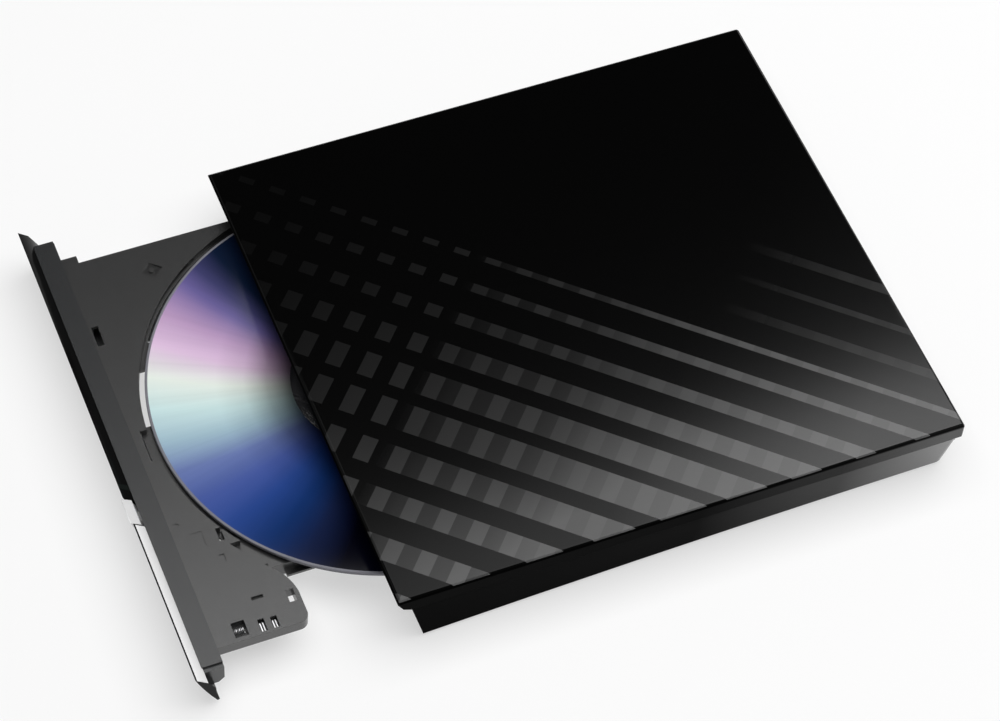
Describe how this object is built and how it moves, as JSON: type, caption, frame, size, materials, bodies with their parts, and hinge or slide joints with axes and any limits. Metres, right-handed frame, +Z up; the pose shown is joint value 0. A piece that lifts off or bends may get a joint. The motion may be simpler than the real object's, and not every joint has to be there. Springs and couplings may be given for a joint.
{
  "type": "external disc drive",
  "caption": "Slim external optical disc drive with a patterned lid, leaning front panel and a sliding tray that carries a disc, spindle and laser pickup.",
  "frame": {"origin": "middle of the footprint on the table, with the tray open 52 mm as in the picture", "axes": "+Z up from the feet, -Y out of the front where the tray opens, +X to the right seen from the front"},
  "size_m": [0.1444, 0.208, 0.02],
  "materials": {
    "lid_gloss_black": "gloss with a faint crossing stripe pattern",
    "shell_black": "satin, fine grain",
    "rubber_black": "matt",
    "screw_steel": "dark zinc",
    "stamped_steel": "rolled sheet",
    "bright_steel": "polished",
    "board_green": "solder mask",
    "chip_black": "moulded",
    "insulator": "film",
    "connector_black": "moulded",
    "tray_grey": "fine spark-eroded grain",
    "bezel_grey": "fine grain",
    "panel_gloss_black": "piano gloss",
    "light_pipe": "clear",
    "motor_steel": "turned",
    "hub_metal": "turned",
    "disc_recorded": "recorded side lacquer, iridescent",
    "claw_plastic": "natural acetal",
    "sled_metal": "die cast",
    "lens_glass": "coated",
    "button_silver": "silver paint"
  },
  "bodies": {
    "housing": {"top_cover": "lid_gloss_black", "bottom_shell": "shell_black", "rubber_feet": "rubber_black", "case_screws": "screw_steel", "chassis_screws": "screw_steel", "chassis_pan": "stamped_steel", "chassis_lid": "stamped_steel", "rail_guide_left": "bright_steel", "rail_guide_right": "bright_steel", "catch_post": "bright_steel", "main_board": "board_green", "main_board_parts": "chip_black", "board_pads": "insulator", "drive_plug": "connector_black", "bridge_board": "board_green", "bridge_parts": "chip_black", "bridge_screws": "screw_steel", "drive_socket": "connector_black", "usb_shell": "bright_steel", "usb_tongue": "connector_black"},
    "tray": {"tray": "tray_grey", "tray_base_plate": "stamped_steel", "base_screws": "screw_steel", "bezel": "bezel_grey", "front_panel": "panel_gloss_black", "led_pipe": "light_pipe", "tray_board": "board_green", "tray_board_parts": "chip_black", "eject_switch": "connector_black", "latch_pin": "bright_steel", "latch_solenoid": "motor_steel", "traverse_plate": "stamped_steel", "traverse_dampers": "rubber_black", "traverse_screws": "screw_steel", "guide_rods": "bright_steel", "rod_clamps": "connector_black", "spindle_motor": "motor_steel", "sled_motor": "motor_steel", "screw_bracket": "stamped_steel"},
    "rail_left": {"rail_left": "bright_steel"},
    "rail_right": {"rail_right": "bright_steel"},
    "spindle": {"turntable": "hub_metal", "turntable_pad": "rubber_black", "disc": "disc_recorded"},
    "claw_a": {"chuck_claw_a": "claw_plastic"},
    "claw_b": {"chuck_claw_b": "claw_plastic"},
    "claw_c": {"chuck_claw_c": "claw_plastic"},
    "sled": {"pickup_sled": "sled_metal", "screw_nut": "claw_plastic"},
    "lens": {"lens_holder": "connector_black", "objective_lens": "lens_glass"},
    "lead_screw": {"lead_screw": "bright_steel"},
    "button": {"eject_button": "button_silver", "switch_plunger": "connector_black"},
    "latch": {"latch_lever": "claw_plastic"}
  },
  "joints": [
    {"name": "tray_slide", "type": "slide", "parent": "housing", "child": "tray", "axis": [0, -1, 0], "range_m": [-0.052, 0.082]},
    {"name": "rail_left_slide", "type": "slide", "parent": "housing", "child": "rail_left", "axis": [0, -1, 0], "range_m": [-0.026, 0.041]},
    {"name": "rail_right_slide", "type": "slide", "parent": "housing", "child": "rail_right", "axis": [0, -1, 0], "range_m": [-0.026, 0.041]},
    {"name": "disc_spin", "type": "hinge", "parent": "tray", "child": "spindle", "pos_m": [0.0008, -0.0295, 0.009], "axis": [0, 0, 1], "continuous": true},
    {"name": "claw_a_slide", "type": "slide", "parent": "spindle", "child": "claw_a", "axis": [-1, 0, 0], "range_m": [0, 0.0004], "stiffness_N_per_m": 400},
    {"name": "claw_b_slide", "type": "slide", "parent": "spindle", "child": "claw_b", "axis": [0.5, -0.866, 0], "range_m": [0, 0.0004], "stiffness_N_per_m": 400},
    {"name": "claw_c_slide", "type": "slide", "parent": "spindle", "child": "claw_c", "axis": [0.5, 0.866, 0], "range_m": [0, 0.0004], "stiffness_N_per_m": 400},
    {"name": "sled_slide", "type": "slide", "parent": "tray", "child": "sled", "axis": [-0.7071, -0.7071, 0], "range_m": [-0.001, 0.0326]},
    {"name": "lens_focus", "type": "slide", "parent": "sled", "child": "lens", "axis": [0, 0, 1], "range_m": [-0.0004, 0.0004], "stiffness_N_per_m": 60},
    {"name": "lead_screw_spin", "type": "hinge", "parent": "tray", "child": "lead_screw", "pos_m": [-0.02777, -0.02922, 0.0074], "axis": [-0.7071, -0.7071, 0], "range_deg": [-121, 3914]},
    {"name": "eject_button_press", "type": "slide", "parent": "tray", "child": "button", "axis": [0, 1, 0], "range_m": [0, 0.0006], "stiffness_N_per_m": 900, "springref_m": -0.0006},
    {"name": "latch_swing", "type": "hinge", "parent": "tray", "child": "latch", "pos_m": [0.036, -0.0898, 0.0065], "axis": [0, 0, 1], "range_deg": [-28, 0], "stiffness_Nm_per_rad": 0.002, "springref_deg": 5.73}
  ],
  "couplings": [
    {"joint": "rail_left_slide", "follows": "tray_slide", "ratio": 0.5},
    {"joint": "rail_right_slide", "follows": "tray_slide", "ratio": 0.5},
    {"joint": "lead_screw_spin", "follows": "sled_slide", "rad_per_m": 2094.4}
  ]
}
